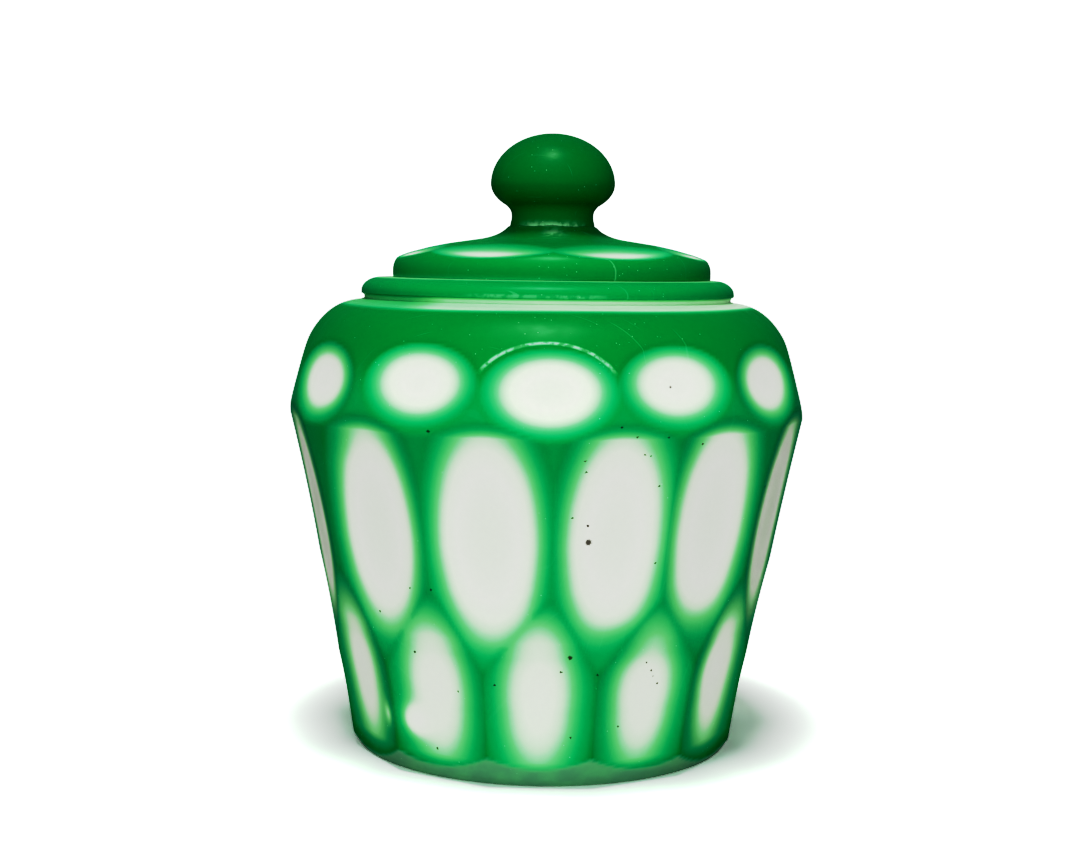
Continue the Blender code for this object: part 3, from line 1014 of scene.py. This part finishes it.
@dataclass(frozen=True)
class Pits:
    """The small dark pits in the skin, each by its angle from the front, height and half-width."""

    spread_radius: float = 0.050
    places: tuple = (
        (9.5, 55.9, 0.75), (6.5, 30.5, 0.55), (-23.7, 78.6, 0.32), (26.6, 88.1, 0.28),
        (8.1, 71.0, 0.28), (7.8, 73.3, 0.25), (9.1, 59.5, 0.30), (5.6, 61.3, 0.25),
        (24.2, 67.6, 0.28), (25.5, 50.8, 0.28), (20.2, 74.4, 0.25), (21.6, 74.1, 0.22),
        (14.8, 80.3, 0.25), (18.2, 78.2, 0.25), (24.7, 78.0, 0.22), (33.4, 76.2, 0.28),
        (57.3, 64.9, 0.30), (4.4, 27.1, 0.28), (-12.1, 23.9, 0.30), (-22.4, 21.4, 0.28),
        (-34.2, 29.2, 0.30), (-44.2, 37.1, 0.28), (-33.0, 43.8, 0.25), (-26.5, 44.3, 0.25),
        (27.0, 28.2, 0.28), (28.7, 26.2, 0.30), (31.2, 23.0, 0.28), (29.6, 24.8, 0.22),
        (7.6, 12.1, 0.30), (-30.6, 7.1, 0.32), (13.4, 26.6, 0.26), (20.7, 14.0, 0.26),
    )

    def build_group(self) -> bpy.types.NodeTree:
        """Make the node group that marks the pits."""
        tree, nodes, _start, end = new_group("pits", {}, "Pit")
        place = nodes.place()
        turn, parts = nodes.turn_and_parts(place)
        girth = nodes.math("MULTIPLY", turn, self.spread_radius)
        flat = nodes.add("ShaderNodeCombineXYZ", {}, {"X": girth, "Y": parts["Z"]}).outputs["Vector"]
        ragged = nodes.noise(place, 2600.0, 1.0).outputs["Color"]
        centred = nodes.vector("SUBTRACT", ragged, (0.5, 0.5, 0.5)).outputs[0]
        shifted = nodes.vector("MULTIPLY_ADD", centred, (0.0006, 0.0006, 0.0), flat).outputs[0]
        marked = None
        for degrees, height, half_width in self.places:
            centre = (math.radians(degrees) * self.spread_radius, height * MM, 0.0)
            distance = nodes.vector("DISTANCE", shifted, centre).outputs["Value"]
            one = nodes.map_range(distance, 0.5 * half_width * MM, 1.1 * half_width * MM, 1.0, 0.0)
            marked = one if marked is None else nodes.math("MAXIMUM", marked, one)
        cells = nodes.add("ShaderNodeTexVoronoi", {}, {"Vector": place, "Scale": 150.0})
        chance = nodes.map_range(cells.outputs["Color"], 0.80, 0.86, 0.0, 0.8)
        speck = nodes.map_range(cells.outputs["Distance"], 0.018, 0.040, 1.0, 0.0)
        behind = nodes.map_range(parts["Y"], -0.030, -0.010, 0.0, 1.0)
        scattered = nodes.math("MULTIPLY", nodes.math("MULTIPLY", chance, speck), behind)
        tree.links.new(nodes.math("MAXIMUM", marked, scattered), end.inputs["Pit"])
        return tree


@dataclass(frozen=True)
class PaintedRimHighlight:
    """A painted highlight: the bright line on the front cut's upper rim, by its girth along the skin and
    its height.
    """

    spread_radius: float = 0.050
    centre_height: float = 0.0874
    half_girth: float = 0.01305
    half_height: float = 0.0096
    half_line: float = 0.030

    def build_group(self) -> bpy.types.NodeTree:
        """Make the node group that paints the highlight line."""
        tree, nodes, _start, end = new_group("painted_rim_highlight", {}, "Arc")
        turn, parts = nodes.turn_and_parts(nodes.place())
        across = nodes.math("MULTIPLY", turn, self.spread_radius / self.half_girth)
        raised = nodes.math("SUBTRACT", parts["Z"], self.centre_height)
        along = nodes.math("DIVIDE", raised, self.half_height)
        across_squared = nodes.math("MULTIPLY", across, across)
        squares = nodes.math("ADD", across_squared, nodes.math("MULTIPLY", along, along))
        gap = nodes.math("ABSOLUTE", nodes.math("SUBTRACT", nodes.math("SQRT", squares), 1.0))
        line = nodes.map_range(gap, 0.3 * self.half_line, 1.6 * self.half_line, 1.0, 0.0)
        upper = nodes.map_range(along, 0.30, 0.62, 0.0, 1.0)
        tree.links.new(nodes.math("MULTIPLY", line, upper), end.inputs["Arc"])
        return tree


@dataclass(frozen=True)
class NicksAndSparkle:
    """The fine pale specks and hair scratches of worn glass, the specks also painting sparkle where light
    is caught.
    """

    cells: float = 1500.0
    hair_length: float = 60.0
    hair_width: float = 2200.0

    def build_group(self) -> bpy.types.NodeTree:
        """Make the node group that draws pale specks, with painted sparkle among them, and hair scratches.
        """
        tree, nodes, start, end = new_group("nicks_and_sparkle", {"Wear_and_sparkle": 0.2}, "Nick_and_sparkle")
        place = nodes.place()
        cells = nodes.add("ShaderNodeTexVoronoi", {}, {"Vector": place, "Scale": self.cells})
        luck = nodes.add("ShaderNodeSeparateColor", {}, {"Color": cells.outputs["Color"]}).outputs["Red"]
        rare = nodes.math("SUBTRACT", 1.0, nodes.math("MULTIPLY", start.outputs["Wear_and_sparkle"], 0.22))
        chosen = nodes.math("GREATER_THAN", luck, rare)
        dot = nodes.map_range(cells.outputs["Distance"], 0.06, 0.24, 1.0, 0.0)
        turned = nodes.add("ShaderNodeMapping", {}, {"Vector": place, "Rotation": (0.3, 0.7, 0.4)})
        scale = (self.hair_length, self.hair_width, self.hair_length)
        drawn = nodes.vector("MULTIPLY", turned.outputs["Vector"], scale).outputs[0]
        line = nodes.map_range(nodes.noise(drawn, 1.0, 0.0).outputs["Fac"], 0.76, 0.80, 0.0, 0.5)
        scratch = nodes.math("MULTIPLY", line, start.outputs["Wear_and_sparkle"])
        nick_and_sparkle = nodes.math("MAXIMUM", nodes.math("MULTIPLY", chosen, dot), scratch)
        tree.links.new(nick_and_sparkle, end.inputs["Nick_and_sparkle"])
        return tree


@dataclass(frozen=True)
class OverlayGlass:
    """The polished overlay glass, lightly worn, with painted highlights and sparkle mixed into its colour.
    """

    name: str
    cased: bpy.types.NodeTree
    nicks_and_sparkle: bpy.types.NodeTree
    pits: bpy.types.NodeTree | None = None
    rim_highlight: bpy.types.NodeTree | None = None
    unevenness: float = 0.06
    rim_highlight_strength: float = 0.85
    nick_and_sparkle_share: float = 0.8
    pale_share: float = 0.6
    pit_share: float = 0.85
    relief_strength: float = 0.25
    relief_height: float = 0.0004
    refraction: float = 1.5
    specular: float = 0.14
    roughness_low: float = 0.32
    roughness_high: float = 0.45
    # The pale colour of chips, painted sparkle and painted glints.
    nick_sparkle_and_glint_colour: tuple = (0.62, 0.86, 0.66, 1.0)
    pit_colour: tuple = (0.046, 0.034, 0.016, 1.0)
    # The paler grey-green of the foot's bevel.
    bevel_tint_colour: tuple = (0.155, 0.325, 0.225, 1.0)

    def build(self) -> bpy.types.Material:
        """Make the material."""
        material = bpy.data.materials.new(self.name)
        material.use_nodes = True
        nodes = NodeBuilder(material.node_tree)
        shader = material.node_tree.nodes["Principled BSDF"]
        depth = {"Depth": nodes.attribute(DEPTH_NAME), "Unevenness": self.unevenness}
        cased = nodes.group(self.cased, depth)["Color"]
        place = nodes.place()
        rub = nodes.noise(place, 160.0, 5.0).outputs["Fac"]
        roughness = nodes.map_range(rub, 0.35, 0.7, self.roughness_low, self.roughness_high)
        # Pale specks and scratches of worn glass, with painted sparkle among them.
        nick_and_sparkle = nodes.group(self.nicks_and_sparkle, {"Wear_and_sparkle": nodes.attribute(WEAR_AND_SPARKLE_NAME)})["Nick_and_sparkle"]
        # Painted highlights: the glints kept on the skin, and the highlight along the front cut's rim.
        glint = nodes.attribute(GLINT_NAME)
        # The paler grey-green tint kept on the foot's bevel.
        bevel_tint = nodes.attribute(BEVEL_TINT_NAME)
        broken = nodes.noise(place, 700.0, 3.0).outputs["Fac"]
        # The painted highlight along the front cut's rim.
        if self.rim_highlight is not None:
            rim_highlight_mask = nodes.group(self.rim_highlight)["Arc"]
            glint = nodes.math("MAXIMUM", glint, nodes.math("MULTIPLY", rim_highlight_mask, self.rim_highlight_strength))
        # The painted highlights broken up by noise, joined with the specks and their painted sparkle into
        # one pale colour.
        glitter = nodes.math("MULTIPLY", glint, nodes.map_range(broken, 0.38, 0.58, 0.25, 1.0))
        pale = nodes.math("MAXIMUM", nodes.math("MULTIPLY", nick_and_sparkle, self.nick_and_sparkle_share), glitter)
        share = nodes.math("MULTIPLY", pale, self.pale_share)
        bevel_tint_share = nodes.math("MULTIPLY", bevel_tint, nodes.map_range(rub, 0.3, 0.7, 0.70, 0.95))
        colour = nodes.mix_colour("MIX", bevel_tint_share, cased, self.bevel_tint_colour)
        colour = nodes.mix_colour("MIX", share, colour, self.nick_sparkle_and_glint_colour)
        ripple = nodes.noise(place, 55.0, 2.0).outputs["Fac"]
        relief = nodes.math("SUBTRACT", ripple, nodes.math("MULTIPLY", nick_and_sparkle, 0.25))
        if self.pits is not None:
            pit = nodes.group(self.pits)["Pit"]
            dark = nodes.math("MULTIPLY", pit, self.pit_share)
            colour = nodes.mix_colour("MIX", dark, colour, self.pit_colour)
            relief = nodes.math("SUBTRACT", relief, nodes.math("MULTIPLY", pit, 0.8))
        links = material.node_tree.links
        links.new(colour, shader.inputs["Base Color"])
        links.new(roughness, shader.inputs["Roughness"])
        inputs = {"Strength": self.relief_strength, "Distance": self.relief_height, "Height": relief}
        bump = nodes.add("ShaderNodeBump", {}, inputs)
        links.new(bump.outputs["Normal"], shader.inputs["Normal"])
        shader.inputs["IOR"].default_value = self.refraction
        shader.inputs["Specular IOR Level"].default_value = self.specular
        return material


@dataclass(frozen=True)
class SoftLight:
    """A far light, by its angles from the front and above the floor, its spread and its strength."""

    name: str
    azimuth: float
    elevation: float
    spread: float
    strength: float
    glass_only: bool = False
    reflected: bool = True

    def build(self, glass: bpy.types.Collection) -> None:
        """Add the light, which shines evenly on the whole scene or on the glass alone.

        Args:
            glass: The pieces that a light for the glass alone shines on.
        """
        data = bpy.data.lights.new(self.name, "SUN")
        data.angle = math.radians(self.spread)
        data.energy = self.strength
        light = bpy.data.objects.new(self.name, data)
        turn, rise = math.radians(self.azimuth), math.radians(self.elevation)
        level = math.cos(rise)
        towards = Vector((level * math.sin(turn), -level * math.cos(turn), math.sin(rise)))
        light.location = towards
        light.rotation_euler = towards.to_track_quat("Z", "Y").to_euler()
        light.visible_glossy = self.reflected
        if self.glass_only:
            light.light_linking.receiver_collection = glass
        bpy.context.scene.collection.objects.link(light)


@dataclass(frozen=True)
class Studio:
    """The white floor, the soft light, the tone of the picture and the camera."""

    camera_place: tuple = (-0.00135, -0.384, 0.114)
    pitch_down: float = 6.1
    roll: float = 0.78
    focal_length: float = 54.0
    sensor_width: float = 36.0
    nearest: float = 0.01
    farthest: float = 50.0
    floor_drop: float = 0.0001
    floor_radius: float = 6.0
    floor_bounce: float = 0.80
    floor_shown: float = 1.52
    world_shown: float = 1.2
    world_light: float = 0.10
    world_gloss: float = 0.14
    lights: tuple = (
        SoftLight("high_light", -12.0, 52.0, 45.0, 0.45, glass_only=True),
        SoftLight("top_light", -9.0, 78.0, 14.0, 1.58),
        SoftLight("front_light", -1.0, 11.0, 18.0, 1.80, reflected=False),
        SoftLight("back_light_left", -166.0, 30.0, 40.0, 0.92, glass_only=True, reflected=False),
        SoftLight("back_light_right", 166.0, 30.0, 40.0, 0.92, glass_only=True, reflected=False),
        SoftLight("side_light_left", -104.0, 20.0, 40.0, 0.18, glass_only=True, reflected=False),
        SoftLight("side_light_right", 104.0, 20.0, 40.0, 0.18, glass_only=True, reflected=False),
    )
    tone: tuple = (
        (0.0, 0.0), (0.05, 0.004), (0.1, 0.022), (0.15, 0.050), (0.2, 0.095),
        (0.25, 0.155), (0.29, 0.225), (0.33, 0.315), (0.37, 0.395), (0.42, 0.490),
        (0.52, 0.600), (0.64, 0.685), (0.78, 0.775), (0.9, 0.872), (1.0, 1.0),
    )

    def build_floor(self) -> None:
        """Lay the plain white floor, shown brighter than the light it throws back."""
        body = bmesh.new()
        bmesh.ops.create_circle(body, cap_ends=True, segments=96, radius=self.floor_radius)
        mesh = bpy.data.meshes.new("floor")
        body.to_mesh(mesh)
        body.free()
        floor = bpy.data.objects.new("floor", mesh)
        floor.location.z = -self.floor_drop
        floor.visible_glossy = False
        bpy.context.scene.collection.objects.link(floor)
        material = bpy.data.materials.new("white_floor")
        material.use_nodes = True
        tree = material.node_tree
        tree.nodes.remove(tree.nodes["Principled BSDF"])
        nodes = NodeBuilder(tree)
        seen = nodes.add("ShaderNodeLightPath").outputs["Is Camera Ray"]
        inputs = {"Value": seen, "To Min": self.floor_bounce, "To Max": self.floor_shown}
        value = nodes.add("ShaderNodeMapRange", {}, inputs).outputs[0]
        white = nodes.add("ShaderNodeCombineColor", {}, {0: value, 1: value, 2: value}).outputs[0]
        shader = nodes.add("ShaderNodeBsdfDiffuse", {}, {"Color": white})
        tree.links.new(shader.outputs["BSDF"], tree.nodes["Material Output"].inputs["Surface"])
        mesh.materials.append(material)

    def build_world(self) -> None:
        """Light the scene evenly from all round, white to the eye and dim in reflections."""
        world = bpy.data.worlds.new("studio")
        bpy.context.scene.world = world
        world.use_nodes = True
        nodes = NodeBuilder(world.node_tree)
        background = world.node_tree.nodes["Background"]
        path = nodes.add("ShaderNodeLightPath")
        shown = nodes.math("MULTIPLY", path.outputs["Is Camera Ray"], self.world_shown)
        diffuse = nodes.math("MULTIPLY", path.outputs["Is Diffuse Ray"], self.world_light)
        glossy = nodes.math("MULTIPLY", path.outputs["Is Glossy Ray"], self.world_gloss)
        strength = nodes.math("ADD", nodes.math("ADD", shown, diffuse), glossy)
        world.node_tree.links.new(strength, background.inputs["Strength"])
        background.inputs["Color"].default_value = (1.0, 1.0, 1.0, 1.0)

    def build_camera(self) -> None:
        """Stand the camera where the photograph was taken from."""
        data = bpy.data.cameras.new("camera")
        data.lens = self.focal_length
        data.sensor_width = self.sensor_width
        data.clip_start = self.nearest
        data.clip_end = self.farthest
        camera = bpy.data.objects.new("camera", data)
        look = Matrix.Rotation(math.radians(90.0 - self.pitch_down), 4, "X")
        roll = Matrix.Rotation(math.radians(self.roll), 4, "Z")
        camera.matrix_world = Matrix.Translation(self.camera_place) @ look @ roll
        bpy.context.scene.collection.objects.link(camera)
        bpy.context.scene.camera = camera

    def set_tone(self) -> None:
        """Set a plain view with the photograph's contrast."""
        view = bpy.context.scene.view_settings
        view.view_transform = "Standard"
        view.look = "None"
        view.use_curve_mapping = True
        mapping = view.curve_mapping
        curve = mapping.curves[3]
        while len(curve.points) < len(self.tone):
            curve.points.new(0.5, 0.5)
        for point, (given, shown) in zip(curve.points, self.tone):
            point.location = (given, shown)
        mapping.update()

    def build(self, pieces: tuple) -> None:
        """Build the whole studio.

        Args:
            pieces: The pieces that have lights of their own.
        """
        self.build_floor()
        self.build_world()
        glass = bpy.data.collections.new("lit_glass")
        for piece in pieces:
            glass.objects.link(piece)
        for light in self.lights:
            light.build(glass)
        self.build_camera()
        self.set_tone()


def main() -> None:
    """Build the jar, the lid and the studio."""
    logging.basicConfig(level=logging.INFO, format="%(name)s: %(message)s")
    cased = CasedColour().build_group()
    nicks_and_sparkle = NicksAndSparkle().build_group()
    pits = Pits().build_group()
    rim_highlight = PaintedRimHighlight().build_group()
    jar = JarSkin().build(OverlayGlass("overlay_glass_jar", cased, nicks_and_sparkle, pits, rim_highlight).build())
    LOG.info("%s has %d points", jar.name, len(jar.data.vertices))
    lid = LidSkin().build(OverlayGlass("overlay_glass_lid", cased, nicks_and_sparkle).build())
    LOG.info("%s has %d points", lid.name, len(lid.data.vertices))
    Studio().build((jar, lid))


if __name__ == "__main__":
    main()
